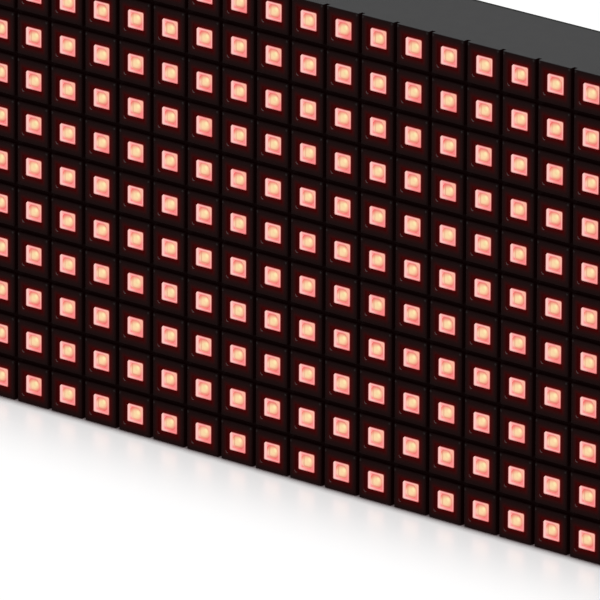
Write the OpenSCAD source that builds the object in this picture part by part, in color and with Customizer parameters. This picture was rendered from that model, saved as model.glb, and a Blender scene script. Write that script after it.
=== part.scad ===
// LED dot matrix display module: eleven rows of red LEDs behind a tiled black mask.
// Sizes are in millimetres. The finished module stands on its long bottom edge: +Z is up,
// the lit face looks along -Y, and the origin is the centre of the footprint on the table.
// Every piece is drawn on the bench, with the module lying on its back: X along the module,
// Y up its face and Z from the rear plane (0) to the lit face (body_d). stand_up() raises it.

/* [Pixel grid] */
// Distance between the centres of neighbouring LEDs
pitch = 6; // [5.5:0.5:8]
// LEDs along the module, an even number
columns = 32; // [24:2:44]
// LEDs up the module
rows = 11; // [9:1:16]

/* [Front mask] */
// Depth of the module from the lit face to the rear plane
body_d = 15; // [14:0.5:20]
// Thickness of the mask's side walls
wall_t = 0.8; // [0.6:0.05:0.85]
// Radius of the four long edges that run front to back
corner_r = 0.5; // [0.2:0.1:0.8]
// Width of the grooves between the tiles
groove_w = 0.6; // [0.4:0.1:0.8]
// Depth of the grooves between the tiles
groove_d = 0.8; // [0.4:0.1:1.2]
// Chamfer on the tiles' edges, along the grooves and round the module
tile_chamfer = 0.12; // [0.05:0.01:0.2]
// Space between an LED and the window round it
window_gap = 0.4; // [0.25:0.05:0.45]
// Radius of the pegs that hold the board and the rear frame
peg_r = 1.4; // [1.2:0.1:1.5]
// Length of the pegs behind the board
peg_reach = 2.6; // [2:0.2:3.2]
// Radius of the screw's pilot hole in a peg
pilot_r = 0.8; // [0.6:0.05:0.9]

/* [LEDs] */
// Width of the LED package along the module
led_w = 2.8; // [2.4:0.1:3]
// Height of the LED package up the module
led_h = 2.5; // [2.3:0.1:3]
// Depth of the LED package from its face to the board
led_t = 1.9; // [1.4:0.1:2.2]
// Distance from the tiles' face back to the LED's face
led_recess = 0.25; // [0.1:0.05:0.5]
// Cut on the package corner that marks its polarity
led_corner = 0.35; // [0.2:0.05:0.5]
// Rim of the package round its cup
led_rim = 0.35; // [0.25:0.05:0.5]
// Cut on the corners of the cup
cup_corner = 0.45; // [0.3:0.05:0.6]
// Depth of the cup
cup_depth = 0.8; // [0.5:0.1:1]
// Distance from the package's face down to the resin in the cup
fill_drop = 0.2; // [0.05:0.05:0.3]

/* [Circuit board] */
// Thickness of the board
board_t = 1.6; // [1:0.2:2]
// Clearance between the board's edge and the mask's walls
board_gap = 0.15; // [0.1:0.05:0.25]
// Clearance between a peg and its hole in the board
peg_gap = 0.2; // [0.1:0.05:0.3]

/* [Rear frame] */
// Clearance between the rear frame and the mask's walls
frame_gap = 0.2; // [0.1:0.05:0.4]
// Thickness of the plate that lies on the board
plate_t = 2.2; // [1.6:0.2:3]
// Thickness of the frame's outer skirt
skirt_t = 1.6; // [1.2:0.1:2]
// Thickness of the ribs round the frame's bays
rib_t = 1.4; // [1:0.1:1.8]
// Thickness of the cross ribs
cross_rib_t = 1; // [0.8:0.1:1.4]
// Distance from the rear plane in to the cross ribs' edges
cross_rib_drop = 1.5; // [0.5:0.25:4]
// Cells from one cross rib to the next
cross_rib_cells = 2; // [2:1:4]
// Height of the bands above and below the bays
band_h = 9.5; // [8.6:0.1:11]
// Distance from the outer screws to the end bays
end_margin = 6; // [5:0.5:8]
// Width of the two upright bars
bar_w = 10; // [9:0.5:13]
// Corner radius of the bays
bay_r = 2; // [1:0.5:3]
// Radius of the bosses over the pegs
screw_boss_r = 3.2; // [2.9:0.1:3.4]
// Radius of the bosses that hold the threaded inserts
insert_boss_r = 3.6; // [3.2:0.1:3.9]
// Cells from the module's end to its outer screws
end_screw_cells = 2; // [2:1:3]
// Cells from the module's end to its inner screws and bars
bar_cells = 11; // [10:1:11]
// Cells from the module's end to the threaded inserts
insert_cells = 4; // [4:1:6]

/* [Screws and inserts] */
// Radius of the screw's shank
screw_r = 0.75; // [0.55:0.05:0.85]
// Radius of the screw's head
screw_head_r = 1.9; // [1.6:0.1:2.1]
// Height of the screw's head
screw_head_h = 1.3; // [1:0.1:1.6]
// Length of the screw under its head
screw_len = 4.4; // [3.6:0.1:4.6]
// Thickness of the floor that a screw's head bears on
screw_floor = 1.6; // [1.2:0.1:2]
// Outer radius of the brass inserts
insert_r = 2.1; // [1.9:0.1:2.3]
// Length of the brass inserts
insert_len = 6; // [4:0.5:7]
// Radius of the thread's bore in an insert
thread_r = 1.25; // [1.2:0.05:1.5]

/* [Connectors] */
// Pins along each row of a data header
data_pins = 8; // [5:1:8]
// Distance between the data pins
data_pitch = 2.54; // [2:0.27:2.54]
// Thickness of a data pin
data_pin_w = 0.64; // [0.5:0.02:0.7]
// Height of a data header's shroud
data_h = 9; // [8:0.25:9.5]
// Width of a data header's shroud
data_w = 8.8; // [8.6:0.1:9.6]
// Thickness of a data header's wall
data_wall = 1.1; // [0.9:0.1:1.3]
// Thickness of a data header's floor
data_floor = 2.5; // [2:0.1:3]
// Length of a data header's shroud past its end pins
data_end = 5; // [4:0.25:6]
// Key slot in a data header's wall
data_key_w = 4.5; // [3.5:0.5:5]
// Pins of the power header
power_pins_n = 4; // [2:1:4]
// Distance between the power pins
power_pitch = 3.96; // [3.5:0.02:3.96]
// Thickness of a power pin
power_pin_w = 1.14; // [1:0.02:1.2]
// Height of the power header
power_h = 9; // [8:0.25:9.5]
// Width of the power header
power_w = 8; // [7.4:0.1:8.6]
// Thickness of the power header's floor
power_floor = 3; // [2.4:0.1:3.4]

/* [Components] */
// Least distance between neighbouring components
part_gap = 2; // [1.4:0.1:2.2]
// Space between the bases of the capacitors
can_space = 6; // [2:0.5:8]
// Height of the capacitor cans
can_h = 5.4; // [4.4:0.2:6.4]
// Radius of the capacitor cans
can_r = 3.15; // [2.5:0.05:3.3]

/* [Hidden] */
$fn = 48;
eps = 0.01; // overshoot of a cut past the face it opens
body_w = columns * pitch - groove_w;
body_h = rows * pitch - groove_w;
tile_plate_t = led_recess + led_t; // the mask's face plate, which the board lies against
board_front = body_d - tile_plate_t;
board_back = board_front - board_t;
window_w = led_w + 2 * window_gap;
window_h = led_h + 2 * window_gap;
inner_w = body_w - 2 * wall_t;
inner_h = body_h - 2 * wall_t;

board_w = inner_w - 2 * board_gap;
board_h = inner_h - 2 * board_gap;
peg_hole_r = peg_r + peg_gap;
peg_end = board_back - peg_reach;

frame_w = inner_w - 2 * frame_gap;
frame_h = inner_h - 2 * frame_gap;
screw_x = [for (cells = [end_screw_cells, bar_cells], side = [-1, 1]) side * (columns / 2 - cells) * pitch];
screw_y = [for (side = [-1, 1]) body_h / 2 + side * (rows / 2 - 1) * pitch];
insert_x = (columns / 2 - insert_cells) * pitch;
bar_x = (columns / 2 - bar_cells) * pitch;
end_bay_x = (columns / 2 - end_screw_cells) * pitch - end_margin;
bay_h = frame_h - 2 * band_h;
centre_bay_w = 2 * bar_x - bar_w;
end_bay_w = end_bay_x - bar_x - bar_w / 2;
end_bay_mid = (end_bay_x + bar_x + bar_w / 2) / 2;
peg_socket_end = peg_end - peg_gap; // floor of the socket that a peg stands in
head_seat = peg_socket_end - screw_floor; // face that the screw's head bears on
screw_hole_r = screw_r + peg_gap;
head_hole_r = screw_head_r + peg_gap;
recess_w = 0.5; // width of the cross recess in a screw's head
recess_l = 2.3; // length of its arms, tip to tip
recess_d = 0.65; // its depth
head_chamfer = 0.4; // bevel round a screw head's face
insert_gap = 0.02; // running space round an insert before it is melted in
cross_step = cross_rib_cells * pitch;
cross_nx = floor(frame_w / 2 / cross_step); // cross ribs on either side of the middle one
cross_ny = floor(bay_h / 2 / cross_step);

data_l = (data_pins - 1) * data_pitch + 2 * data_end;
pin_gap = 0.03; // clearance of a pin in its hole
pin_drop = 0.8; // distance of a pin's tip below the shroud's mouth
header_x = end_bay_mid + end_bay_w / 4;
power_l = power_pins_n * power_pitch;
latch_t = 1.2; // thickness of the power header's latch wall
latch_slot_w = 1.6;

// Integrated circuits: [length, width over the moulding, height, span over the feet, feet a side, their pitch]
driver_ic = [8.65, 3.9, 1.55, 6, 12, 0.635];
buffer_ic = [12.8, 7.5, 2.3, 10.3, 10, 1.27];
decoder_ic = [9.9, 3.9, 1.55, 6, 8, 1.27];
switch_ic = [4.9, 3.9, 1.55, 6, 4, 1.27];
foot_t = 0.2; // thickness of the sheet that the feet are formed from
foot_share = 0.4; // width of a foot as a share of the feet's pitch
ic_draft = 0.12; // slope of the moulding's sides
ic_stand_off = 0.1; // height of the moulding over the board
chip_l = 1.6; // chip resistors and capacitors
chip_w = 0.8;
resistor_t = 0.45;
ceramic_t = 0.8;
can_base_w = 2 * can_r + 0.3;
can_base_t = 0.8;
can_corner = 1.2; // cut on two corners of a capacitor's base
bead_r = 0.35; // rolled groove round the foot of a can
bead_z = 1; // its height over the foot

// Rows of components across the centre bay, from its middle line
mid_y = body_h / 2;
top_row_y = mid_y + bay_h / 2 - part_gap - buffer_ic[0] / 2;
low_row_y = mid_y - bay_h / 2 + part_gap + can_base_w;
centre_row_y = (top_row_y - buffer_ic[0] / 2 + low_row_y + can_base_w / 2) / 2;
buffer_x = power_l / 2 + part_gap + buffer_ic[3] / 2;
switch_x = [for (n = [0, 1], side = [-1, 1])
    side * (decoder_ic[0] / 2 + part_gap + switch_ic[3] / 2 + n * (switch_ic[3] + part_gap))];
can_x = [for (n = [-1:1]) n * (can_base_w + can_space)];
driver_x = end_bay_mid - end_bay_w / 4;
driver_y = [for (n = [-1:1]) mid_y + n * bay_h / 3];
resistor_x = driver_x + driver_ic[0] / 2 + part_gap;
ceramic_x = driver_x - driver_ic[0] / 2 - part_gap;

function two_digits(n) = str(n < 10 ? "0" : "", n);
function led_name(row) = str("led_row_", two_digits(row + 1));
function fill_name(row) = str("led_resin_", two_digits(row + 1));
function cell_x(column) = (column - (columns - 1) / 2) * pitch;
function cell_y(row) = body_h / 2 + (row - (rows - 1) / 2) * pitch;

// ---- Helpers ----

// Raises the module from the bench onto its long bottom edge.
module stand_up() translate([0, body_d / 2, 0]) rotate([90, 0, 0]) children();

// Puts a component on the board's rear face, its own +Z pointing away from the board.
module on_board(x, y, turn = 0)
    translate([x, y, board_back]) rotate([0, 180, 0]) rotate([0, 0, turn]) children();

// A rectangle about its own centre with round corners.
module rounded_rect(w, h, r) {
    square([w - 2 * r, h], center = true);
    square([w, h - 2 * r], center = true);
    for (x = [-1, 1], y = [-1, 1]) translate([x * (w / 2 - r), y * (h / 2 - r)]) circle(r = r);
}

// A rectangle about its own centre with cut corners: corners lists the cut at each, anticlockwise from +X +Y.
module cut_rect(w, h, corners)
    polygon([
        [w / 2, h / 2 - corners[0]], [w / 2 - corners[0], h / 2],
        [corners[1] - w / 2, h / 2], [-w / 2, h / 2 - corners[1]],
        [-w / 2, corners[2] - h / 2], [corners[2] - w / 2, -h / 2],
        [w / 2 - corners[3], -h / 2], [w / 2, corners[3] - h / 2]
    ]);

// The grid of the module's fastening places.
module at_screws() for (x = screw_x, y = screw_y) translate([x, y, 0]) children();
module at_inserts() for (x = [-insert_x, insert_x], y = screw_y) translate([x, y, 0]) children();

// ---- Front mask ----

// A groove along Y with chamfered lips, its mouth at Z = 0.
module groove(length)
    rotate([90, 0, 0])
        linear_extrude(height = length, center = true)
            polygon([
                [-groove_w / 2, -groove_d], [groove_w / 2, -groove_d],
                [groove_w / 2, -tile_chamfer], [groove_w / 2 + tile_chamfer, 0],
                [groove_w / 2 + tile_chamfer, eps], [-groove_w / 2 - tile_chamfer, eps],
                [-groove_w / 2 - tile_chamfer, 0], [-groove_w / 2, -tile_chamfer]
            ]);

// A cutter for the chamfer on an outer edge along Y, the edge itself at X = 0 and Z = 0.
module edge_cutter(length)
    rotate([90, 0, 0])
        linear_extrude(height = length, center = true)
            polygon([[-tile_chamfer - 1, 1], [1, -tile_chamfer - 1], [1, 1]]);

module mask_shell()
    difference() {
        translate([0, body_h / 2, 0])
            linear_extrude(height = body_d) rounded_rect(body_w, body_h, corner_r);
        translate([-inner_w / 2, (body_h - inner_h) / 2, -eps])
            cube([inner_w, inner_h, board_front + eps]);
    }

module front_mask()
    color([0.09, 0.07, 0.07]) stand_up()
        difference() {
            union() {
                mask_shell();
                at_screws() translate([0, 0, peg_end]) cylinder(r = peg_r, h = board_front - peg_end + eps);
            }
            for (column = [1:columns - 1])
                translate([cell_x(column) - pitch / 2, body_h / 2, body_d]) groove(body_h + 2);
            for (row = [1:rows - 1])
                translate([0, cell_y(row) - pitch / 2, body_d]) rotate([0, 0, 90]) groove(body_w + 2);
            for (side = [0, 180])
                translate([0, body_h / 2, body_d]) rotate([0, 0, side]) {
                    translate([body_w / 2, 0, 0]) edge_cutter(body_h + 2);
                    translate([0, body_h / 2, 0]) rotate([0, 0, 90]) edge_cutter(body_w + 2);
                }
            for (row = [0:rows - 1], column = [0:columns - 1])
                translate([cell_x(column) - window_w / 2, cell_y(row) - window_h / 2, board_front - eps])
                    cube([window_w, window_h, tile_plate_t + 2 * eps]);
            at_screws() translate([0, 0, peg_end - eps]) cylinder(r = pilot_r, h = board_front - peg_end);
        }

// ---- LEDs ----

// The white package with its cup, standing on the board.
module led_package() {
    translate([0, 0, board_front])
        difference() {
            linear_extrude(height = led_t) cut_rect(led_w, led_h, [0, led_corner, 0, 0]);
            translate([0, 0, led_t - cup_depth])
                linear_extrude(height = cup_depth + eps) cup_outline();
        }
}

module cup_outline()
    cut_rect(led_w - 2 * led_rim, led_h - 2 * led_rim, [cup_corner, cup_corner, cup_corner, cup_corner]);

// The clear resin that fills the cup over the chip.
module led_fill()
    translate([0, 0, board_front + led_t - cup_depth])
        linear_extrude(height = cup_depth - fill_drop) cup_outline();

module along_row(row)
    for (column = [0:columns - 1]) translate([cell_x(column), cell_y(row), 0]) children();

module led_row(row) color([1, 0.62, 0.6]) stand_up() along_row(row) led_package();
module led_resin(row) color([1, 0.35, 0.3]) stand_up() along_row(row) led_fill();

// ---- Circuit board ----

module circuit_board()
    color([0.05, 0.06, 0.06]) stand_up()
        difference() {
            translate([-board_w / 2, (body_h - board_h) / 2, board_back]) cube([board_w, board_h, board_t]);
            at_screws() translate([0, 0, board_back - eps]) cylinder(r = peg_hole_r, h = board_t + 2 * eps);
        }

// ---- Rear frame ----

// Outlines of the frame's three open bays, grown by the rib round them where asked.
module bay_outlines(grow = 0) {
    translate([0, mid_y]) rounded_rect(centre_bay_w + 2 * grow, bay_h + 2 * grow, bay_r + grow);
    for (side = [-1, 1])
        translate([side * end_bay_mid, mid_y])
            rounded_rect(end_bay_w + 2 * grow, bay_h + 2 * grow, bay_r + grow);
}

module frame_outline(inset = 0)
    translate([0, mid_y]) rounded_rect(frame_w - 2 * inset, frame_h - 2 * inset, corner_r);

// The ribs that cross the frame's bands and bars.
module cross_ribs() {
    for (n = [-cross_nx:cross_nx])
        translate([n * cross_step, mid_y]) square([cross_rib_t, frame_h - skirt_t], center = true);
    for (n = [-cross_ny:cross_ny])
        translate([0, mid_y + n * cross_step]) square([frame_w - skirt_t, cross_rib_t], center = true);
}

// A plate on the board with its skirt, ribs and bosses standing out to the rear.
module rear_frame()
    color([0.12, 0.12, 0.13]) stand_up()
        difference() {
            union() {
                translate([0, 0, board_back - plate_t]) linear_extrude(height = plate_t) frame_outline();
                linear_extrude(height = board_back)
                    difference() {
                        frame_outline();
                        frame_outline(skirt_t);
                    }
                linear_extrude(height = board_back) bay_outlines(rib_t);
                translate([0, 0, cross_rib_drop]) linear_extrude(height = board_back - cross_rib_drop) cross_ribs();
                at_screws() cylinder(r = screw_boss_r, h = board_back);
                at_inserts() cylinder(r = insert_boss_r, h = board_back);
            }
            translate([0, 0, -eps]) linear_extrude(height = board_back + 2 * eps) bay_outlines();
            at_screws() {
                translate([0, 0, peg_socket_end]) cylinder(r = peg_hole_r, h = board_back);
                translate([0, 0, -eps]) cylinder(r = screw_hole_r, h = board_back);
                translate([0, 0, -eps]) cylinder(r = head_hole_r, h = head_seat + eps);
            }
            at_inserts() translate([0, 0, -eps]) cylinder(r = insert_r + insert_gap, h = insert_len + eps);
        }

module mount_inserts()
    color([0.8, 0.62, 0.25]) stand_up() at_inserts()
        difference() {
            cylinder(r = insert_r, h = insert_len);
            translate([0, 0, -eps]) cylinder(r = thread_r, h = insert_len + 2 * eps);
        }

// A pan-head screw from the rear: its head bears on the socket's floor and its shank runs into the peg.
module case_screw()
    difference() {
        union() {
            translate([0, 0, head_seat - screw_head_h]) {
                cylinder(r1 = screw_head_r - head_chamfer, r2 = screw_head_r, h = head_chamfer);
                translate([0, 0, head_chamfer]) cylinder(r = screw_head_r, h = screw_head_h - head_chamfer);
            }
            translate([0, 0, head_seat - eps]) cylinder(r = screw_r, h = screw_len + eps);
        }
        for (turn = [0, 90])
            translate([0, 0, head_seat - screw_head_h]) rotate([0, 0, turn])
                cube([recess_l, recess_w, 2 * recess_d], center = true);
    }

module case_screws() color([0.7, 0.7, 0.72]) stand_up() at_screws() case_screw();

// ---- Connectors ----

// Places of a data header's pins, in its own frame.
module at_data_pins()
    for (row = [-1, 1], n = [0:data_pins - 1])
        translate([row * data_pitch / 2, (n - (data_pins - 1) / 2) * data_pitch, 0]) children();

module data_shroud()
    difference() {
        translate([-data_w / 2, -data_l / 2, 0]) cube([data_w, data_l, data_h]);
        translate([-data_w / 2 + data_wall, -data_l / 2 + data_wall, data_floor])
            cube([data_w - 2 * data_wall, data_l - 2 * data_wall, data_h]);
        translate([data_w / 2 - 2 * data_wall, -data_key_w / 2, data_floor])
            cube([3 * data_wall, data_key_w, data_h]);
        at_data_pins() translate([0, 0, data_floor / 2])
            cube([data_pin_w + 2 * pin_gap, data_pin_w + 2 * pin_gap, data_floor + 2 * eps], center = true);
    }

module data_pin_block()
    at_data_pins() translate([-data_pin_w / 2, -data_pin_w / 2, 0])
        cube([data_pin_w, data_pin_w, data_h - pin_drop]);

module data_header_in() color([0.06, 0.06, 0.06]) stand_up() on_board(-header_x, mid_y) data_shroud();
module data_header_out() color([0.06, 0.06, 0.06]) stand_up() on_board(header_x, mid_y) data_shroud();
module data_pins_in() color([0.85, 0.7, 0.35]) stand_up() on_board(-header_x, mid_y) data_pin_block();
module data_pins_out() color([0.85, 0.7, 0.35]) stand_up() on_board(header_x, mid_y) data_pin_block();

// Places of the power header's pins, in its own frame.
module at_power_pins()
    for (n = [0:power_pins_n - 1])
        translate([(n - (power_pins_n - 1) / 2) * power_pitch, 0, 0]) children();

module power_header()
    color([0.9, 0.88, 0.82]) stand_up() on_board(0, top_row_y)
        difference() {
            union() {
                translate([-power_l / 2, -power_w / 2, 0]) cube([power_l, power_w, power_floor]);
                translate([-power_l / 2, -power_w / 2, 0]) cube([power_l, latch_t, power_h]);
            }
            for (n = [1:power_pins_n - 1])
                translate([(n - power_pins_n / 2) * power_pitch - latch_slot_w / 2,
                           -power_w / 2 - eps, power_floor])
                    cube([latch_slot_w, latch_t + 2 * eps, power_h / 3]);
            at_power_pins() translate([0, 0, power_floor / 2])
                cube([power_pin_w + 2 * pin_gap, power_pin_w + 2 * pin_gap, power_floor + 2 * eps], center = true);
        }

module power_pins()
    color([0.82, 0.82, 0.84]) stand_up() on_board(0, top_row_y) at_power_pins()
        translate([-power_pin_w / 2, -power_pin_w / 2, 0]) cube([power_pin_w, power_pin_w, power_h - pin_drop]);

// ---- Components on the board's rear ----

// A gull-wing foot on the +Y side, centred on X = 0, from a moulding of half width reach.
module foot(reach, span, height, w)
    rotate([90, 0, 90])
        linear_extrude(height = w, center = true)
            polygon([
                [reach - foot_t, height - foot_t], [reach - foot_t, height],
                [reach + foot_t, height], [reach + 2 * foot_t, foot_t],
                [span, foot_t], [span, 0], [reach + foot_t, 0], [reach, height - foot_t]
            ]);

// A moulded package with two rows of feet, lying along X.
module gull_wing(ic) {
    l = ic[0];
    w = ic[1];
    t = ic[2];
    half = (t + ic_stand_off) / 2;
    rotate([90, 0, 90])
        linear_extrude(height = l, center = true)
            polygon([
                [-w / 2 + ic_draft, ic_stand_off], [w / 2 - ic_draft, ic_stand_off], [w / 2, half],
                [w / 2 - ic_draft, t], [-w / 2 + ic_draft, t], [-w / 2, half]
            ]);
    for (turn = [0, 180], n = [0:ic[4] - 1])
        rotate([0, 0, turn]) translate([(n - (ic[4] - 1) / 2) * ic[5], 0, 0])
            foot(w / 2, ic[3] / 2, half + foot_t / 2, ic[5] * foot_share);
}

module driver_ics()
    color([0.1, 0.1, 0.11]) stand_up()
        for (side = [-1, 1], y = driver_y) on_board(side * driver_x, y) gull_wing(driver_ic);

module line_buffers()
    color([0.1, 0.1, 0.11]) stand_up()
        for (side = [-1, 1]) on_board(side * buffer_x, top_row_y, 90) gull_wing(buffer_ic);

module row_decoder() color([0.1, 0.1, 0.11]) stand_up() on_board(0, centre_row_y) gull_wing(decoder_ic);

module row_switches()
    color([0.1, 0.1, 0.11]) stand_up() for (x = switch_x) on_board(x, centre_row_y, 90) gull_wing(switch_ic);

module chip(height) translate([-chip_w / 2, -chip_l / 2, 0]) cube([chip_w, chip_l, height]);

module chip_resistors()
    color([0.15, 0.15, 0.17]) stand_up()
        for (side = [-1, 1], y = driver_y, n = [-1:1])
            on_board(side * resistor_x, y + n * (chip_l + chip_w)) chip(resistor_t);

module chip_capacitors()
    color([0.62, 0.5, 0.36]) stand_up() {
        for (side = [-1, 1], y = driver_y) on_board(side * ceramic_x, y) chip(ceramic_t);
        for (x = switch_x)
            on_board(x, centre_row_y - switch_ic[0] / 2 - part_gap) chip(ceramic_t);
    }

module capacitor_bases()
    color([0.06, 0.06, 0.06]) stand_up()
        for (x = can_x) on_board(x, low_row_y)
            linear_extrude(height = can_base_t) cut_rect(can_base_w, can_base_w, [can_corner, can_corner, 0, 0]);

// A can turned from one profile, with the rolled groove above its foot.
module capacitor_can()
    rotate_extrude()
        difference() {
            square([can_r, can_h]);
            translate([can_r + bead_r / 2, bead_z]) circle(r = bead_r);
        }

module capacitor_cans()
    color([0.78, 0.78, 0.8]) stand_up()
        for (x = can_x) on_board(x, low_row_y) translate([0, 0, can_base_t]) capacitor_can();

// ---- Nodes ----

front_mask();
circuit_board();
rear_frame();
mount_inserts();
case_screws();
data_header_in();
data_header_out();
data_pins_in();
data_pins_out();
power_header();
power_pins();
driver_ics();
line_buffers();
row_decoder();
row_switches();
chip_resistors();
chip_capacitors();
capacitor_bases();
capacitor_cans();
for (row = [0:rows - 1]) {
    led_row(row);
    led_resin(row);
}
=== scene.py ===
"""A lit LED dot matrix module that stands on its long edge on a pale floor.

The solids come from the frame. This script gives them their finishes and adds the fine
pieces, the floor, the lamps and the camera. Lengths are in metres: X runs along the
module, the lit side looks along -Y and Z is up.
"""
import math

import bmesh
import bpy
from mathutils import Matrix, Vector


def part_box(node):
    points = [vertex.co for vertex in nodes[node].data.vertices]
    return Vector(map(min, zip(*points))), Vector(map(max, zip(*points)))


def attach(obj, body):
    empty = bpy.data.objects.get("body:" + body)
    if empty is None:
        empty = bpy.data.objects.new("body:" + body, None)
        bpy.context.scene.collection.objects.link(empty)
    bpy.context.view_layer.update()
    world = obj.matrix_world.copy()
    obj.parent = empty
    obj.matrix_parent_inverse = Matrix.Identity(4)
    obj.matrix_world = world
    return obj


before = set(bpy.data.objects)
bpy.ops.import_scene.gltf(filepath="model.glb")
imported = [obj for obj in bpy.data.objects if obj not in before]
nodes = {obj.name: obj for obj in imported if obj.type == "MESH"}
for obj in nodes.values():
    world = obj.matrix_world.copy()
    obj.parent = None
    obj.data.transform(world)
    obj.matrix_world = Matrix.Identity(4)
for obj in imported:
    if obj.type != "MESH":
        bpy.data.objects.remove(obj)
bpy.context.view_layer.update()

MM = 0.001
PITCH = 6 * MM
LED_ROWS = [name for name in sorted(nodes) if name.startswith("led_row_")]
RESIN_ROWS = [name for name in sorted(nodes) if name.startswith("led_resin_")]
mask_lo, mask_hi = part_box("front_mask")
MID_Z = (mask_lo.z + mask_hi.z) / 2
REAR = mask_hi.y
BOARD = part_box("circuit_board")[1].y  # the board's rear face, which carries the components
LED_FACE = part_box(LED_ROWS[0])[0].y
COLUMNS, ROWS = 32, len(LED_ROWS)
WINDOW = Vector((1.8 * MM, 1.65 * MM)) / PITCH  # half sizes of a tile's window, in cells
LED = Vector((1.4 * MM, 1.25 * MM)) / PITCH  # half sizes of an LED, in cells
CORNER = 0.05  # radius in cells to which an LED's glow fades at its corners

# Circuits with formed feet: how far a foot stands out past the moulding, the feet's pitch, how
# many there are along a side, and whether the sides that carry them run along X
CIRCUITS = {
    "driver_ics": {"reach": 1.05 * MM, "pitch": 0.635 * MM, "count": 12, "along_x": True},
    "line_buffers": {"reach": 1.4 * MM, "pitch": 1.27 * MM, "count": 10, "along_x": False},
    "row_decoder": {"reach": 1.05 * MM, "pitch": 1.27 * MM, "count": 8, "along_x": True},
    "row_switches": {"reach": 1.05 * MM, "pitch": 1.27 * MM, "count": 4, "along_x": False},
}
CHIPS = ("chip_resistors", "chip_capacitors")
HEADERS = ("data_header_in", "data_header_out", "power_header")

# Heights above the board's rear face
COPPER = 0.035 * MM  # tracks under the solder mask
STRIP = 0.045 * MM  # the supply's wide strips
LAND = 0.05 * MM  # tinned lands
PRINT = 0.055 * MM  # the white legend
SIGNAL_WIDTH = 0.22 * MM
SUPPLY_WIDTH = 1.5 * MM
LEGEND_WIDTH = 0.16 * MM
SUNK = 0.01 * MM  # how far a fine piece is sunk into the face that carries it


def solids(node):
    """Boxes of a node's separate solids, from left to right and then upwards."""
    bm = bmesh.new()
    bm.from_mesh(nodes[node].data)
    bmesh.ops.remove_doubles(bm, verts=bm.verts, dist=1e-6)
    waiting, boxes = set(bm.verts), []
    while waiting:
        stack, low, high = [waiting.pop()], Vector((1, 1, 1)), Vector((-1, -1, -1))
        while stack:
            vert = stack.pop()
            low = Vector(map(min, low, vert.co))
            high = Vector(map(max, high, vert.co))
            for edge in vert.link_edges:
                other = edge.other_vert(vert)
                if other in waiting:
                    waiting.remove(other)
                    stack.append(other)
        boxes.append((low, high))
    bm.free()
    return sorted(boxes, key=lambda b: (round(b[0].x, 5), round(b[0].z, 5)))


# ---- Camera ----

def place_camera():
    """A long lens from the right of the lit side, a little above the module."""
    turn, rise, roll = (math.radians(a) for a in (41.395, 17.70, 0.256))
    back = Vector((math.sin(turn) * math.cos(rise), -math.cos(turn) * math.cos(rise), math.sin(rise)))
    level = Vector((math.cos(turn), math.sin(turn), 0))
    upright = back.cross(level)
    right = level * math.cos(roll) + upright * math.sin(roll)
    up = upright * math.cos(roll) - level * math.sin(roll)
    aim, distance = Vector((1.7499 * MM, LED_FACE, 24.5421 * MM)), 2.15423
    data = bpy.data.cameras.new("camera")
    data.sensor_width = 36
    data.lens = 995.8
    data.clip_start, data.clip_end = 0.05, 50
    camera = bpy.data.objects.new("camera", data)
    facing = Matrix((right, up, back)).transposed().to_4x4()
    camera.matrix_world = Matrix.Translation(aim + back * distance) @ facing
    bpy.context.scene.collection.objects.link(camera)
    bpy.context.scene.camera = camera


# ---- Finishes ----

class Signal:
    """A value, colour or shader in a node tree. Arithmetic adds the Math nodes that work it out."""

    def __init__(self, owner, socket):
        self.owner, self.socket = owner, socket

    def math(self, operation, *others):
        """One Math node on this value and up to two others."""
        values = dict(enumerate((self, *others)))
        return self.owner.node("ShaderNodeMath", {"operation": operation}, values)

    def __add__(self, other):
        return self.math("ADD", other)

    def __mul__(self, other):
        return self.math("MULTIPLY", other)

    __radd__, __rmul__ = __add__, __mul__

    def __sub__(self, other):
        return self.math("SUBTRACT", other)

    def __rsub__(self, other):
        return self * -1 + other

    def __truediv__(self, other):
        return self.math("DIVIDE", other)

    def __pow__(self, other):
        return self.math("POWER", other)

    def __gt__(self, other):
        return self.math("GREATER_THAN", other)

    def __lt__(self, other):
        return self.math("LESS_THAN", other)

    def __abs__(self):
        return self.math("ABSOLUTE")

    def most(self, other):
        """The larger of two values."""
        return self.math("MAXIMUM", other)

    def ramp(self, start, end):
        """0 at start and 1 at end, eased at both."""
        return self.owner.node("ShaderNodeMapRange", {"interpolation_type": "SMOOTHSTEP"},
                               {"Value": self, "From Min": start, "From Max": end})


WHITE = (1.0, 1.0, 1.0, 1.0)
BLACK = (0.0, 0.0, 0.0)


def colour(value):
    """What a colour socket takes: a signal, or red, green, blue and an alpha of 1."""
    return value if isinstance(value, Signal) else (*value[:3], 1.0)


class NodeTree:
    """The nodes of a material or a world."""

    def __init__(self, owner):
        owner.use_nodes = True
        self.tree = owner.node_tree
        self.tree.nodes.clear()

    def node(self, kind, settings=None, sockets=None, output=0):
        """Adds a node, makes its settings, and sets or links its sockets."""
        made = self.tree.nodes.new(kind)
        for key, value in (settings or {}).items():
            setattr(made, key, value)
        for key, value in (sockets or {}).items():
            if isinstance(value, Signal):
                self.tree.links.new(value.socket, made.inputs[key])
            else:
                made.inputs[key].default_value = value
        return Signal(self, made.outputs[output] if made.outputs else None)


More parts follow.
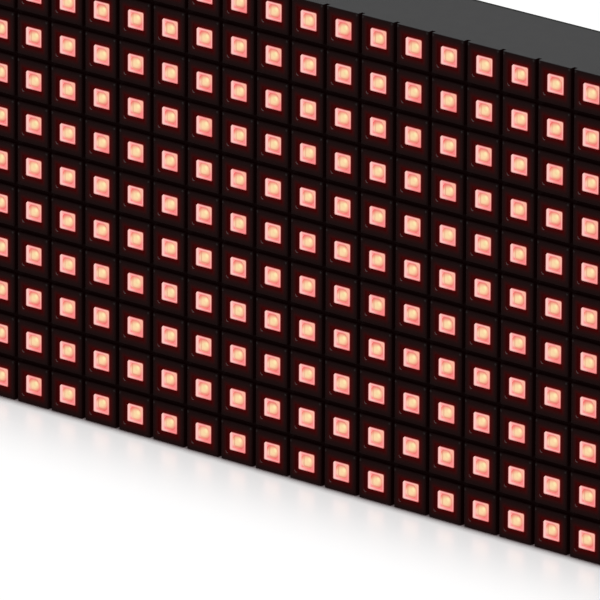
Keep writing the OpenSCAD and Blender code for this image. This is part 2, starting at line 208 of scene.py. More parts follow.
class Finish(NodeTree):
    """One material: its nodes are added by the methods, and surface() closes it."""

    def __init__(self, name):
        self.material = bpy.data.materials.new(name)
        super().__init__(self.material)
        self.place = self.node("ShaderNodeTexCoord", output="Object")
        self.x, self.y, self.z = self.split(self.place)

    def split(self, vector):
        """The three parts of a vector."""
        outputs = self.node("ShaderNodeSeparateXYZ", sockets={0: vector}).socket.node.outputs
        return [Signal(self, outputs[n]) for n in range(3)]

    def normal(self):
        """The surface's direction in the module's frame."""
        return self.split(self.node("ShaderNodeTexCoord", output="Normal"))

    def noise(self, size, detail=2.0, rough=0.5):
        """Smooth noise from 0 to 1, with features of about the given size."""
        return self.node("ShaderNodeTexNoise", sockets={"Vector": self.place, "Scale": 1 / size,
                                                        "Detail": detail, "Roughness": rough})

    def mix(self, share, first, second):
        """A colour between two colours."""
        sockets = {0: share, 6: colour(first), 7: colour(second)}
        return self.node("ShaderNodeMix", {"data_type": "RGBA"}, sockets, 2)

    def tint(self, strength, shade):
        """A shade made stronger or weaker by a value."""
        sockets = {"Vector": Vector(shade), "Scale": strength}
        return self.node("ShaderNodeVectorMath", {"operation": "SCALE"}, sockets)

    def bump(self, height, depth, strength=0.5):
        """A normal bent by a height from 0 to 1 that stands for a real depth."""
        sockets = {"Height": height, "Distance": depth, "Strength": strength}
        return self.node("ShaderNodeBump", sockets=sockets)

    def surface(self, **sockets):
        """Closes the material with one Principled shader; a socket's spaces are written as _."""
        named = {key.replace("_", " "): value for key, value in sockets.items()}
        for key in ("Base Color", "Emission Color"):
            if key in named:
                named[key] = colour(named[key])
        return self.output(self.node("ShaderNodeBsdfPrincipled", sockets=named))

    def output(self, shader):
        """Closes the material with any shader."""
        self.node("ShaderNodeOutputMaterial", sockets={"Surface": shader})
        return self.material


def cell(f):
    """Places in a dot's cell along X and Z, from -0.5 to 0.5 of the pitch about its LED's centre."""
    u = (f.x / PITCH).math("FRACT") - 0.5
    v = ((f.z - MID_Z) / PITCH + 0.5).math("FRACT") - 0.5
    return u, v


def cell_chance(f, seed):
    """A value from 0 to 1 that differs from dot to dot."""
    column = (f.x / PITCH).math("FLOOR")
    row = ((f.z - MID_Z) / PITCH + 0.5).math("FLOOR")
    place = f.node("ShaderNodeCombineXYZ", sockets={0: column, 1: row, 2: seed})
    return f.node("ShaderNodeTexWhiteNoise", {"noise_dimensions": "3D"}, {"Vector": place}, "Value")


def spot(u, v, at_u, at_v, radius):
    """1 inside a small round place in a cell."""
    return ((u - at_u) * (u - at_u) + (v - at_v) * (v - at_v)) < radius * radius


def apart(across, up):
    """Distance past the corner or side of a box whose sides lie at across = 0 and up = 0."""
    return (across.most(0.0) ** 2.0 + up.most(0.0) ** 2.0) ** 0.5


def mask_plastic():
    """Black moulding: dead matt tiles with a painted red glow from the LEDs, painted shade and light round
    the windows, on the chamfers and in the grooves, glints in the corners (the lower left one painted),
    satin side walls and a rear rim painted darker as shade.
    """
    f = Finish("mask_plastic")
    u, v = cell(f)
    nx, ny, nz = f.normal()
    past = apart(abs(u) - WINDOW.x, abs(v) - WINDOW.y)
    cloud, grain = f.noise(2.2 * MM, 3), f.noise(0.12 * MM)
    depth = f.y - mask_lo.y
    tile = (ny < -0.5) * (depth < 0.3 * MM)
    in_window = (abs(u) < WINDOW.x + 0.002) * (abs(v) < WINDOW.y + 0.002)
    # Painted red glow of the LEDs on a tile: all round the window, and stronger on its right; the grooves
    # get a faint painted red glow too
    spill = 0.0030 + 0.0065 * (1 - past.ramp(0.04, 0.22)) + 0.018 * (1 - past.ramp(-0.02, 0.095))
    streak = u.ramp(0.26, 0.30) * (1 - u.ramp(0.30, 0.42)) * (1 - abs(v).ramp(0.14, 0.32))
    spill = spill + 0.017 * streak
    red = f.mix(tile, (0.0022, 0.0, 0.0), f.tint(spill, (1.0, 0.006, 0.003)))
    # Painted red glow on the window's walls, stronger further in
    wall = f.mix(depth.ramp(0.0, 0.6 * MM), (0.025, 0.0010, 0.0010), (0.044, 0.0014, 0.0014))
    red = f.mix(in_window * (1 - tile), red, wall)
    # The satin skin: what lies 0.97 mm or more from a core 1 mm inside the outline, and the rear rim
    core = 1 * MM
    hull = apart(abs(f.x) - mask_hi.x + core, abs(f.z - MID_Z) - MID_Z + core)
    skin = (hull > 0.97 * core).most(f.y > REAR - 0.5 * MM)
    # Painted shade: the rear rim is painted darker than the rest of the satin skin
    rim = f.y.ramp(REAR - 0.75 * MM, REAR - 0.25 * MM) * (ny < 0.3)
    satin = f.mix(cloud, (0.019, 0.019, 0.0195), (0.0265, 0.0265, 0.027))
    satin = f.mix(rim, satin, (0.010, 0.010, 0.010))
    matt = f.mix(cloud, (0.0022, 0.0020, 0.0020), (0.0033, 0.0031, 0.0030))
    # Painted shade: darker at the window's edge, on the chamfers that face up and deep in the grooves;
    # painted light: the chamfers that face left are lighter
    matt = f.mix(past.ramp(0.0, 0.075), (0.0009, 0.0006, 0.0006), matt)
    matt = f.mix((nx < -0.3) * tile, matt, (0.012, 0.0115, 0.0115))
    matt = f.mix((nz > 0.3) * tile, matt, (0.0012, 0.0011, 0.0011))
    matt = f.mix(depth.ramp(0.1 * MM, 0.4 * MM), matt, (0.0009, 0.0008, 0.0008))
    # Glints in the tiles' corners: a painted lighter spot with a glossy coat at the window's lower left,
    # and spots of glossy coat at the tile's upper corners
    low_glint = spot(u, v, -0.268, -0.249, 0.042) * tile
    matt = f.mix(low_glint * 0.8, matt, (0.030, 0.025, 0.025))
    corner_glints = (spot(abs(u), v, 0.412, 0.408, 0.026) * tile * 0.22).most(low_glint * 0.9)
    sheen = skin * (1 - rim) * 0.17
    # The painted red glow is emitted by everything but the satin skin
    return f.surface(Base_Color=f.mix(skin, matt, satin), Roughness=0.62 + 0.1 * grain,
                     Specular_IOR_Level=0.04, Coat_Weight=sheen.most(corner_glints), Coat_Roughness=0.36,
                     Emission_Color=f.mix(skin, red, BLACK), Emission_Strength=1.0,
                     Normal=f.bump(grain + 0.5 * cloud, 0.004 * MM))


def oval(u, v, place, size, turn, inner, outer, swell=1.0):
    """1 in the middle of a leaning oval in the cell, eased to 0 at its edge."""
    across, up = u - place[0], v - place[1]
    lean, rise = math.cos(turn), math.sin(turn)
    long = (across * lean + up * rise) / size[0]
    short = (up * lean - across * rise) / size[1]
    return 1 - ((long * long + short * short) ** 0.5 / swell).ramp(inner, outer)


def led_housing():
    """The white package lit from inside: palest at its left and on its lip, warm at the upper right."""
    f = Finish("led_housing")
    u, v = cell(f)
    ny = f.normal()[1]
    tint = cell_chance(f, 9.13)
    left = 1 - u.ramp(-0.19, -0.10)
    foot = (1 - v.ramp(-0.17, -0.13)) * (1 - u.ramp(-0.20, 0.07))
    head = v.ramp(0.13, 0.17) * (1 - u.ramp(-0.20, 0.20)) * 0.46
    rim = f.mix(tint, (0.91, 0.20, 0.20), (0.93, 0.26, 0.25))
    rim = f.mix(left.most(foot).most(head), rim, (0.94, 0.54, 0.50))
    rim = f.mix(u.ramp(0.03, 0.10) * v.ramp(-0.08, 0.075), rim, (0.93, 0.42, 0.30))
    brink = apart(abs(u) - (LED.x - CORNER), abs(v) - (LED.y - CORNER)) - CORNER
    lip = 1 - abs(brink + 0.030).ramp(0.004, 0.017)
    rim = f.mix(lip * (0.1 + 0.45 * cell_chance(f, 3.31)), rim, (0.97, 0.62, 0.58))
    outside = brink.ramp(-0.022, -0.004) * v.ramp(-0.24, -0.15)
    rim = f.mix(outside * (ny < -0.5), rim, (0.30, 0.03, 0.03))
    rim = f.mix(brink.ramp(0.0, 0.01), rim, (0.08, 0.003, 0.003))
    rim = f.mix((brink > -0.008) * (ny > -0.5), rim, (0.055, 0.0020, 0.0016))
    grain = f.noise(0.1 * MM)
    return f.surface(Base_Color=f.mix(grain, (0.025, 0.008, 0.006), (0.04, 0.011, 0.009)),
                     Roughness=0.35 + 0.1 * grain, Specular_IOR_Level=0.2,
                     Emission_Color=rim, Emission_Strength=1.0)


def led_resin():
    """Clear resin over a lit chip: a warm glow that leans to the upper right in a red bowl."""
    f = Finish("led_resin")
    u, v = cell(f)
    wobble = f.noise(0.45 * MM)
    u = u + (cell_chance(f, 0.37) - 0.5) * 0.03 + (wobble - 0.5) * 0.02
    v = v + (cell_chance(f, 4.71) - 0.5) * 0.03
    swell = 0.93 + 0.14 * cell_chance(f, 6.05)
    bowl = f.mix(cell_chance(f, 9.13), (0.79, 0.10, 0.11), (0.82, 0.13, 0.13))
    corner = oval(u, v, (-0.136, -0.06), (0.072, 0.072), 0, 0.4, 1.5)
    bowl = f.mix(corner * 0.7, bowl, (0.92, 0.51, 0.50))
    glow = oval(u, v, (-0.013, -0.008), (0.150, 0.106), 0.30, 0.34, 1.72, swell)
    bowl = f.mix(glow, bowl, (0.915, 0.655, 0.36))
    heart = oval(u, v, (0.047, 0.04), (0.049, 0.049), 0, 0.4, 1.4)
    bowl = f.mix(heart * 0.85, bowl, (0.97, 0.80, 0.42))
    bond = spot(u, v, 0.092, 0.112, 0.024)
    bowl = f.mix(bond * 0.5, bowl, (0.55, 0.26, 0.17))
    chip = spot(u, v, 0.01, 0.01, 0.045) * cell_chance(f, 2.26)
    bowl = f.mix(chip * 0.45, bowl, (0.74, 0.66, 0.30))
    # The cup's rounded brim
    brim = apart(abs(u - 0.021) - 0.092, abs(v - 0.004) - 0.088) - 0.040
    line = 1 - abs(brim).ramp(0.003, 0.022)
    bowl = f.mix(line * (0.20 + 0.40 * cell_chance(f, 7.9)), bowl, (0.62, 0.20, 0.13))
    return f.surface(Base_Color=f.mix(wobble, (0.03, 0.008, 0.006), (0.05, 0.013, 0.010)),
                     Roughness=0.22 + 0.12 * wobble, Specular_IOR_Level=0.3,
                     Emission_Color=bowl, Emission_Strength=1.0)


def grained(name, low, high, size, roughness, metallic=0.0, specular=0.5, relief=0.01, coat=0.0):
    """A moulded or drawn surface whose colour, gloss and relief vary with noise of one size."""
    f = Finish(name)
    cloud, grain = f.noise(size * 8, 3), f.noise(size, 2, 0.6)
    return f.surface(Base_Color=f.mix(cloud * 0.6 + grain * 0.4, low, high), Metallic=metallic,
                     Roughness=roughness - 0.06 + 0.12 * grain, Specular_IOR_Level=specular,
                     Coat_Weight=coat, Coat_Roughness=0.1, Normal=f.bump(grain, relief * MM))


def board_laminate():
    """Dark green over the glass weave, black with a painted red glow from the LEDs on the LEDs' side; the
    cut edge is bare.
    """
    f = Finish("board_laminate")
    ny = f.normal()[1]
    grain = f.noise(0.5 * MM, 3)
    strand = 0.55 * MM
    weave = ((f.x / strand).math("SINE") * (f.z / strand).math("SINE")) * 0.5 + 0.5
    tone = f.mix(grain * 0.6 + weave * 0.4, (0.004, 0.022, 0.012), (0.008, 0.036, 0.020))
    tone = f.mix(abs(ny) < 0.5, tone, (0.20, 0.17, 0.08))
    lit_side = ny < -0.5
    tone = f.mix(lit_side, tone, (0.004, 0.0035, 0.0035))
    # The LEDs' side gets a painted red glow as emission
    return f.surface(Base_Color=tone, Roughness=0.26 + 0.12 * grain + 0.5 * lit_side,
                     Coat_Weight=0.3 - lit_side * 0.3, Coat_Roughness=0.12,
                     Emission_Color=f.mix(lit_side, BLACK, (0.035, 0.0010, 0.0010)), Emission_Strength=1.0,
                     Normal=f.bump(weave + grain, 0.004 * MM))


def frame_plastic():
    """Spark-eroded black moulding with the faint rings that ejector pins leave."""
    f = Finish("frame_plastic")
    cloud, grain = f.noise(3 * MM, 3), f.noise(0.14 * MM, 3, 0.65)
    spacing, line_z = 2 * PITCH, 26.85 * MM
    u = (f.x / spacing).math("FRACT") - 0.5
    v = (abs(f.z - MID_Z) - line_z) / spacing
    beyond = (u * u + v * v) ** 0.5
    ring = (1 - abs(beyond - 0.16).ramp(0.0, 0.014)) * (f.y < BOARD + 2.3 * MM)
    tone = f.mix(cloud * 0.5 + grain * 0.5, (0.026, 0.026, 0.028), (0.044, 0.044, 0.047))
    tone = f.mix(ring * 0.5, tone, (0.016, 0.016, 0.017))
    return f.surface(Base_Color=tone, Roughness=0.52 + 0.16 * grain, Specular_IOR_Level=0.4,
                     Normal=f.bump(grain - ring * 1.5, 0.02 * MM))


def ic_epoxy(node):
    """Moulded epoxy whose formed feet, outside the moulding's width, are tinned."""
    f = Finish(node + "_epoxy")
    grain = f.noise(0.09 * MM)
    circuit = CIRCUITS[node]
    body = 0.0
    for low, high in solids(node):
        mid, half = (low + high) / 2, (high - low) / 2
        from_x, from_z = (abs(f.x - mid.x), half.x), (abs(f.z - mid.z), half.z)
        ways = (from_x, from_z) if circuit["along_x"] else (from_z, from_x)
        (along, half_length), (across, half_width) = ways
        inside = across < half_width - circuit["reach"] + 0.01 * MM
        body = inside * (along < half_length + 0.1 * MM) + body
    epoxy = f.mix(grain, (0.013, 0.013, 0.014), (0.026, 0.026, 0.028))
    return f.surface(Base_Color=f.mix(body, (0.66, 0.65, 0.63), epoxy), Metallic=1 - body,
                     Roughness=0.25 + 0.26 * body + 0.1 * grain, Normal=f.bump(grain, 0.008 * MM))


def insert_brass():
    """Turned brass with the thread cut in its bore."""
    f = Finish("insert_brass")
    grain = f.noise(0.1 * MM)
    thread_pitch = 0.5 * MM
    thread = (f.y * (2 * math.pi / thread_pitch)).math("SINE")
    wall = abs(f.normal()[1]) < 0.5
    tone = f.mix(grain, (0.58, 0.39, 0.13), (0.74, 0.53, 0.21))
    tone = f.mix(wall * (thread > 0.2), tone, (0.20, 0.13, 0.04))
    return f.surface(Base_Color=tone, Metallic=1.0, Roughness=0.24 + 0.14 * grain,
                     Normal=f.bump(thread * wall + grain * 0.2, 0.05 * MM))


def dress(finish, *names):
    """Gives CAD nodes their finish."""
    for name in names:
        mesh = nodes[name].data
        mesh.materials.clear()
        mesh.materials.append(finish)


# ---- Fine pieces ----

def piece(name, build, finish):
    """One mesh object of the module, filled by build(bm)."""
    mesh = bpy.data.meshes.new(name)
    bm = bmesh.new()
    build(bm)
    bmesh.ops.recalc_face_normals(bm, faces=bm.faces)
    bm.to_mesh(mesh)
    bm.free()
    made = bpy.data.objects.new(name, mesh)
    bpy.context.scene.collection.objects.link(made)
    mesh.materials.append(finish)
    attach(made, "root")


def prism(bm, outline, y0, y1):
    """A solid over an outline of (x, z) points, from depth y0 to y1, or to a list of their depths."""
    tops = y1 if isinstance(y1, list) else [y1] * len(outline)
    near = [bm.verts.new((x, y0, z)) for x, z in outline]
    far = [bm.verts.new((x, y, z)) for (x, z), y in zip(outline, tops)]
    bm.faces.new(near)
    bm.faces.new(far[::-1])
    for n in range(len(outline)):
        m = (n + 1) % len(outline)
        bm.faces.new((near[m], near[n], far[n], far[m]))


def slab(bm, x0, x1, z0, z1, y0, y1):
    """A solid between two places along each axis."""
    prism(bm, [(x0, z0), (x1, z0), (x1, z1), (x0, z1)], y0, y1)


def arc(x, z, radius, start, sweep, steps):
    """Points round (x, z), from a start through a sweep, both in degrees."""
    turns = [math.radians(start + sweep * n / steps) for n in range(steps + 1)]
    return [(x + radius * math.cos(a), z + radius * math.sin(a)) for a in turns]


def disc(bm, x, z, radius, y0, y1, sides=20):
    """A flat round solid about (x, z) between two depths."""
    prism(bm, arc(x, z, radius, 0, 360, sides)[:-1], y0, y1)


def ring(bm, x, z, inner, outer, y0, y1, sides=14):
    """A flat washer about (x, z) between two depths."""
    loops = []
    for radius, y in ((inner, y1), (outer, y1), (outer, y0), (inner, y0)):
        circle = arc(x, z, radius, 0, 360, sides)[:-1]
        loops.append([bm.verts.new((at_x, y, at_z)) for at_x, at_z in circle])
    for k in range(4):
        one, two = loops[k], loops[(k + 1) % 4]
        for n in range(sides):
            m = (n + 1) % sides
            bm.faces.new((one[n], one[m], two[m], two[n]))


def track(bm, points, width, height, closed=False):
    """A flat line of one width on the board's rear face, mitred where it turns."""
    points = [Vector(point) for point in points]
    count = len(points)
    loops = []
    for n, here in enumerate(points):
        ways = []
        if closed or n > 0:
            ways.append((here - points[n - 1]).normalized())
        if closed or n < count - 1:
            ways.append((points[(n + 1) % count] - here).normalized())
        way = (ways[0] + ways[-1]).normalized()
        side = Vector((-way.y, way.x)) * (width / 2 / way.dot(ways[0]))
        (x0, z0), (x1, z1) = here + side, here - side
        low, high = BOARD - SUNK, BOARD + height
        section = ((x0, low, z0), (x0, high, z0), (x1, high, z1), (x1, low, z1))
        loops.append([bm.verts.new(place) for place in section])
    for n in range(count if closed else count - 1):
        one, two = loops[n], loops[(n + 1) % count]
        for k in range(4):
            m = (k + 1) % 4
            bm.faces.new((one[k], one[m], two[m], two[k]))
    if not closed:
        bm.faces.new(loops[0])
        bm.faces.new(loops[-1][::-1])


def feet(node):
    """Toe of each formed foot, the way it points, and the via that its track runs to."""
    circuit = CIRCUITS[node]
    for low, high in solids(node):
        mid = (low + high) / 2
        for n in range(circuit["count"]):
            step = (n - (circuit["count"] - 1) / 2) * circuit["pitch"]
            for side, edge in ((-1, low), (1, high)):
                if circuit["along_x"]:
                    toe, way = Vector((mid.x + step, edge.z)), Vector((0, side))
                else:
                    toe, way = Vector((edge.x, mid.z + step)), Vector((side, 0))
                # The vias stand in three staggered rows
                yield toe, way, toe + way * (0.55 + 0.3 * (n % 3)) * MM


def window_corners(bm):
    """The small fillets in the corners of each tile's window, just behind the tile's face."""
    leg, bend, overlap = 0.34 * MM, 0.102 * MM, 0.02 * MM
    y0, y1 = mask_lo.y + 0.015 * MM, mask_lo.y + 1.6 * MM
    for column in range(COLUMNS):
        for row in range(ROWS):
            x = (column - (COLUMNS - 1) / 2) * PITCH
            z = MID_Z + (row - (ROWS - 1) / 2) * PITCH
            for sx in (-1, 1):
                for sz in (-1, 1):
                    cx = x + sx * (WINDOW.x * PITCH + overlap)
                    cz = z + sz * (WINDOW.y * PITCH + overlap)
                    fillet = [(cx, cz), (cx - sx * leg, cz), (cx - sx * bend, cz - sz * bend),
                              (cx, cz - sz * leg)]
                    prism(bm, fillet, y0, y1)


def routed(side, *points):
    """Points in millimetres from the board's middle, towards one of its ends (-1 or 1)."""
    return [(side * x * MM, MID_Z + z * MM) for x, z in points]


def board_tracks(bm):
    """Copper under the solder mask: fan-outs, data buses and the supply's wide strips."""
    for node, circuit in CIRCUITS.items():
        for toe, way, via in feet(node):
            track(bm, [toe - way * 0.5 * MM, via], min(SIGNAL_WIDTH, circuit["pitch"] * 0.35), COPPER)
    # Two buses of six tracks towards each end, in millimetres from the board's middle
    bay, jog = 7.4, 1.2
    for side in (-1, 1):
        for level in (-1, 1):
            for n in range(6):
                z, bend = level * bay + (n - 2.5) * 0.5, 55.5 + 0.2 * n
                moved = z + level * jog
                bus = routed(side, (35.2, z), (bend, z), (bend + jog, moved), (77.8, moved))
                track(bm, bus, SIGNAL_WIDTH, COPPER)
    for side in (-1, 1):
        for strip in (((2, 9.6), (2, 5.2), (7.6, 5.2)), ((24.6, -6.2), (9, -6.2), (6.6, -8.6))):
            track(bm, routed(side, *strip), SUPPLY_WIDTH, STRIP)


def via_rings(bm):
    """Tinned lands round the small plated holes at the ends of the tracks."""
    for node in ("driver_ics", "row_decoder", "line_buffers"):
        for _, _, (x, z) in feet(node):
            ring(bm, x, z, 0.1 * MM, 0.24 * MM, BOARD, BOARD + LAND, 10)


def solder(bm, heel, tip, aside, rise):
    """A pad's solder: a wedge that is high at its heel and thin at its tip."""
    corners = [heel - aside, heel + aside, tip + aside, tip - aside]
    prism(bm, corners, BOARD, [BOARD + rise] * 2 + [BOARD + 0.04 * MM] * 2)


def solder_joints(bm):
    """Pads with a wedge of solder at each foot and at each chip's ends."""
    for node, circuit in CIRCUITS.items():
        for toe, way, _ in feet(node):
            aside = Vector((way.y, way.x)) * circuit["pitch"] * 0.27
            solder(bm, toe - way * 0.5 * MM, toe + way * 0.32 * MM, aside, 0.13 * MM)
    for node in CHIPS:
        for low, high in solids(node):
            mid, aside = (low + high) / 2, Vector(((high.x - low.x) / 2 + 0.06 * MM, 0))
            for end, way in ((low.z, -1), (high.z, 1)):
                heel, tip = Vector((mid.x, end)), Vector((mid.x, end + way * 0.38 * MM))
                solder(bm, heel, tip, aside, (high.y - BOARD) * 0.6)


def chip_ends(bm):
    """The tinned end caps of the chip resistors and capacitors."""
    skin, length, lift = 0.02 * MM, 0.3 * MM, 0.01 * MM
    for node in CHIPS:
        for low, high in solids(node):
            for z0, z1 in ((low.z - skin, low.z + length), (high.z - length, high.z + skin)):
                slab(bm, low.x - skin, high.x + skin, z0, z1, BOARD + lift, high.y + skin)


def print_line(bm, *points, width=LEGEND_WIDTH, closed=False):
    """A line of the board's white legend."""
    track(bm, points, width, PRINT, closed)


def circuit_legend(bm, node):
    """A line off both ends of each circuit, and the dot beside its first foot."""
    circuit, gap, radius = CIRCUITS[node], 0.4 * MM, 0.26 * MM
    for low, high in solids(node):
        mid, half = (low + high) / 2, (high - low) / 2
        if circuit["along_x"]:
            reach = half.z - circuit["reach"]
            for x in (low.x - gap, high.x + gap):
                print_line(bm, (x, mid.z - reach), (x, mid.z + reach))
            disc(bm, low.x - 0.95 * MM, low.z + 0.5 * MM, radius, BOARD, BOARD + PRINT)
        else:
            reach = half.x - circuit["reach"]
            for z in (low.z - gap, high.z + gap):
                print_line(bm, (mid.x - reach, z), (mid.x + reach, z))
            disc(bm, low.x + 0.5 * MM, high.z + 0.8 * MM, radius, BOARD, BOARD + PRINT)


def chip_legend(bm, node):
    """A line along both sides of each chip."""
    for low, high in solids(node):
        for x in (low.x - 0.3 * MM, high.x + 0.3 * MM):
            print_line(bm, (x, low.z + 0.35 * MM), (x, high.z - 0.35 * MM), width=LEGEND_WIDTH * 0.8)


def header_legend(bm, node):
    """The outline of a header, and the arrow at its first pin."""
    low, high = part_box(node)
    gap = 0.35 * MM
    left, right, foot, head = low.x - gap, high.x + gap, low.z - gap, high.z + gap
    print_line(bm, (left, foot), (right, foot), (right, head), (left, head), closed=True)
    x, z = low.x - 1.5 * MM, high.z - 1 * MM
    arrow = [(x, z), (x, z - 1.2 * MM), (x + 0.8 * MM, z - 0.6 * MM)]
    prism(bm, arrow, BOARD, BOARD + PRINT)


def can_legend(bm, node):
    """The outline of each capacitor's base, open at the sides, and its plus sign."""
    gap, cut, arm = 0.35 * MM, 1.3 * MM, 0.45 * MM
    for low, high in solids(node):
        left, right, foot, head = low.x - gap, high.x + gap, low.z - gap, high.z + gap
        z = low.z + 2 * MM
        print_line(bm, (left, z), (left, foot), (right, foot), (right, z))
        z, bevel = high.z - 2.2 * MM, high.z - cut
        print_line(bm, (left, z), (left, bevel), (left + cut, head),
                   (right - cut, head), (right, bevel), (right, z))
        x, z = low.x - 1.1 * MM, high.z - 0.6 * MM
        print_line(bm, (x - arm, z), (x + arm, z))
        print_line(bm, (x, z - arm), (x, z + arm))


def legend_lines(bm):
    """White printed outlines and polarity marks round the components."""
    for node in CIRCUITS:
        circuit_legend(bm, node)
    for node in CHIPS:
        chip_legend(bm, node)
    for node in HEADERS:
        header_legend(bm, node)
    can_legend(bm, "capacitor_bases")


def first_pin_dimples(bm):
    """The round moulded dimple beside the first foot of each circuit."""
    inset = 0.9 * MM
    for node, circuit in CIRCUITS.items():
        reach = circuit["reach"] + 0.75 * MM
        for low, high in solids(node):
            if circuit["along_x"]:
                x, z = low.x + inset, low.z + reach
            else:
                x, z = low.x + reach, high.z - inset
            ring(bm, x, z, 0.24 * MM, 0.34 * MM, high.y - SUNK, high.y + 0.012 * MM)
            disc(bm, x, z, 0.25 * MM, high.y - SUNK, high.y + 0.003 * MM)


def can_bands(bm):
    """The dark printed segment on each capacitor's top that marks its negative side."""
    for low, high in solids("capacitor_cans"):
        mid, radius = (low + high) / 2, (high.x - low.x) / 2 - 0.25 * MM
        prism(bm, arc(mid.x, mid.z, radius, 130, 100, 16), high.y, high.y + 0.01 * MM)


def can_scores(bm):
    """The pressed cross on each capacitor's top, and the rolled edge round it."""
    half, score = 0.07 * MM, 0.012 * MM
    for low, high in solids("capacitor_cans"):
        mid, radius = (low + high) / 2, (high.x - low.x) / 2
        arm, top = radius * 0.62, high.y
        slab(bm, mid.x - arm * 0.55, mid.x + arm, mid.z - half, mid.z + half, top, top + score)
        slab(bm, mid.x - half, mid.x + half, mid.z - arm, mid.z + arm, top, top + score)
        ring(bm, mid.x, mid.z, radius - 0.16 * MM, radius - 0.02 * MM,
             top - 0.02 * MM, top + 0.03 * MM, 40)


# ---- Studio ----

def floor_finish():
    """White, faintly glossy floor with a painted shadow: softly shaded round what stands on it and dark at
    its foot, tinged pink as painted light from the LEDs.
    """
    f = Finish("floor")
    seen = f.node("ShaderNodeLightPath", output="Is Camera Ray")
    wide = 1 - f.node("ShaderNodeAmbientOcclusion", {"samples": 16}, {"Distance": 20 * MM}, "AO")
    tight = 1 - f.node("ShaderNodeAmbientOcclusion", {"samples": 16}, {"Distance": 1.7 * MM}, "AO")
    # Painted shadow from ambient occlusion: wide and soft round the module, and dark in a tight band at
    # its foot
    open_sky = (1 - wide * 0.37) * (1 - tight * 2.0).most(0.0)
    fleck = f.noise(30 * MM)
    paint = f.mix(fleck, (0.91, 0.91, 0.91), (0.94, 0.94, 0.94))
    real = f.node("ShaderNodeBsdfDiffuse", sockets={"Color": paint})
    # The painted shadow's colour, pink as painted red light from the LEDs
    painted_shadow = f.node("ShaderNodeEmission", sockets={"Color": (0.10, 0.06, 0.065, 1.0)})
    white = f.node("ShaderNodeEmission", sockets={"Strength": 1.06})
    gloss = f.node("ShaderNodeBsdfGlossy", sockets={"Color": (1.7, 1.7, 1.7, 1.0), "Roughness": 0.28})
    plain = f.node("ShaderNodeMixShader", sockets={0: open_sky, 1: painted_shadow, 2: white})
    plain = f.node("ShaderNodeMixShader", sockets={0: wide * 0.4, 1: plain, 2: gloss})
    return f.output(f.node("ShaderNodeMixShader", sockets={0: seen * 0.8, 1: real, 2: plain}))


def lay_floor():
    """The floor, a hair under what stands on it."""
    mesh = bpy.data.meshes.new("floor")
    bm = bmesh.new()
    bmesh.ops.create_grid(bm, x_segments=8, y_segments=8, size=6)
    bm.to_mesh(mesh)
    bm.free()
    floor = bpy.data.objects.new("floor", mesh)
    bpy.context.scene.collection.objects.link(floor)
    floor.location.z = -0.05 * MM
    mesh.materials.append(floor_finish())


def light_world():
    """Soft even light; the camera, gloss and clear plastics see plain white."""
    world = bpy.data.worlds.new("studio")
    studio = NodeTree(world)
    seen = studio.node("ShaderNodeLightPath", output="Is Camera Ray")
    for ray in ("Is Glossy Ray", "Is Transmission Ray"):
        seen = seen.most(studio.node("ShaderNodeLightPath", output=ray))
    light, plain = (studio.node("ShaderNodeBackground", sockets={"Color": WHITE, "Strength": strength})
                    for strength in (0.55, 1.0))
    blend = studio.node("ShaderNodeMixShader", sockets={0: seen, 1: light, 2: plain})
    studio.node("ShaderNodeOutputWorld", sockets={"Surface": blend})
    bpy.context.scene.world = world


def hang_lamp(name, place, aim, size, power):
    """A round soft lamp that the camera doesn't see."""
    data = bpy.data.lights.new(name, "AREA")
    data.shape = "DISK"
    data.size = size
    data.energy = power
    lamp = bpy.data.objects.new(name, data)
    lamp.location = place
    lamp.rotation_euler = (Vector(aim) - Vector(place)).to_track_quat("-Z", "Y").to_euler()
    lamp.visible_camera = False
    bpy.context.scene.collection.objects.link(lamp)


# ---- The module ----

place_camera()
bpy.context.scene.view_settings.view_transform = "Standard"
light_world()
hang_lamp("overhead", (0.05, -0.1, 0.9), (0, 0, 0), 0.6, 4.2)
lay_floor()

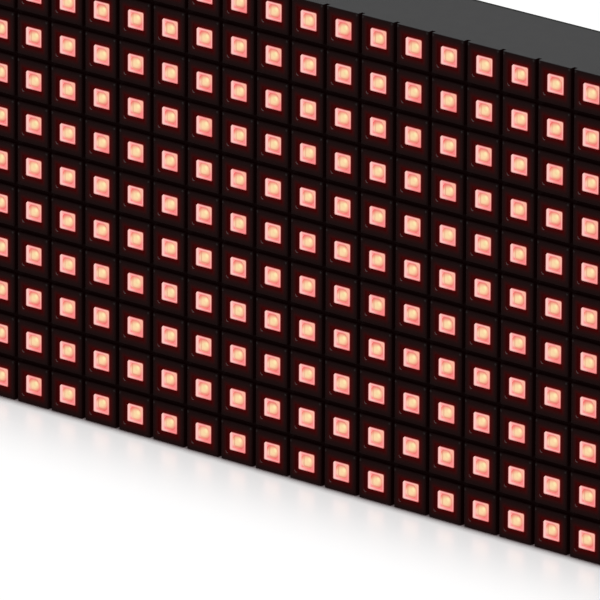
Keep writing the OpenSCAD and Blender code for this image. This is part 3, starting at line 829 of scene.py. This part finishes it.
mask = mask_plastic()
tin = grained("pin_tin", (0.62, 0.62, 0.62), (0.74, 0.74, 0.74), 0.1 * MM, 0.26, metallic=1.0)
header = grained("header_plastic", (0.013, 0.013, 0.014), (0.023, 0.023, 0.024), 0.12 * MM, 0.42)
gold = grained("pin_gold", (0.80, 0.56, 0.20), (0.86, 0.64, 0.26), 0.1 * MM, 0.24, metallic=1.0)
steel = grained("screw_steel", (0.48, 0.48, 0.49), (0.62, 0.62, 0.63), 0.1 * MM, 0.32, metallic=1.0)
ivory = grained("power_plastic", (0.70, 0.67, 0.58), (0.77, 0.74, 0.66), 0.15 * MM, 0.42)
glaze = grained("resistor_glaze", (0.012, 0.012, 0.014), (0.02, 0.02, 0.024), 0.1 * MM, 0.2)
ceramic = grained("capacitor_ceramic", (0.32, 0.20, 0.11), (0.42, 0.28, 0.16), 0.1 * MM, 0.4)
can_base = grained("can_base", (0.012, 0.012, 0.012), (0.02, 0.02, 0.02), 0.12 * MM, 0.5)
aluminium = grained("can_aluminium", (0.60, 0.60, 0.61), (0.72, 0.72, 0.73), 0.15 * MM, 0.28,
                    metallic=1.0)
copper = grained("masked_copper", (0.010, 0.050, 0.026), (0.016, 0.070, 0.038), 0.4 * MM, 0.3,
                 coat=0.3)
solder_tin = grained("solder", (0.50, 0.50, 0.51), (0.70, 0.70, 0.71), 0.12 * MM, 0.3,
                     metallic=1.0, relief=0.03)
legend = grained("legend_ink", (0.66, 0.66, 0.64), (0.78, 0.78, 0.76), 0.1 * MM, 0.6)
dimple = grained("dimple_epoxy", (0.008, 0.008, 0.009), (0.014, 0.014, 0.015), 0.1 * MM, 0.3)
band = grained("band_ink", (0.010, 0.010, 0.012), (0.02, 0.02, 0.023), 0.1 * MM, 0.45)
scored = grained("scored_aluminium", (0.38, 0.38, 0.39), (0.5, 0.5, 0.51), 0.1 * MM, 0.35,
                 metallic=1.0)

dress(mask, "front_mask")
dress(led_housing(), *LED_ROWS)
dress(led_resin(), *RESIN_ROWS)
dress(board_laminate(), "circuit_board")
dress(frame_plastic(), "rear_frame")
dress(insert_brass(), "mount_inserts")
dress(steel, "case_screws")
dress(header, "data_header_in", "data_header_out")
dress(gold, "data_pins_in", "data_pins_out")
dress(ivory, "power_header")
dress(tin, "power_pins")
for circuit_node in CIRCUITS:
    dress(ic_epoxy(circuit_node), circuit_node)
dress(glaze, "chip_resistors")
dress(ceramic, "chip_capacitors")
dress(can_base, "capacitor_bases")
dress(aluminium, "capacitor_cans")

piece("window_corners", window_corners, mask)
piece("board_tracks", board_tracks, copper)
piece("via_rings", via_rings, tin)
piece("solder_joints", solder_joints, solder_tin)
piece("chip_ends", chip_ends, tin)
piece("legend_lines", legend_lines, legend)
piece("first_pin_dimples", first_pin_dimples, dimple)
piece("can_bands", can_bands, band)
piece("can_scores", can_scores, scored)
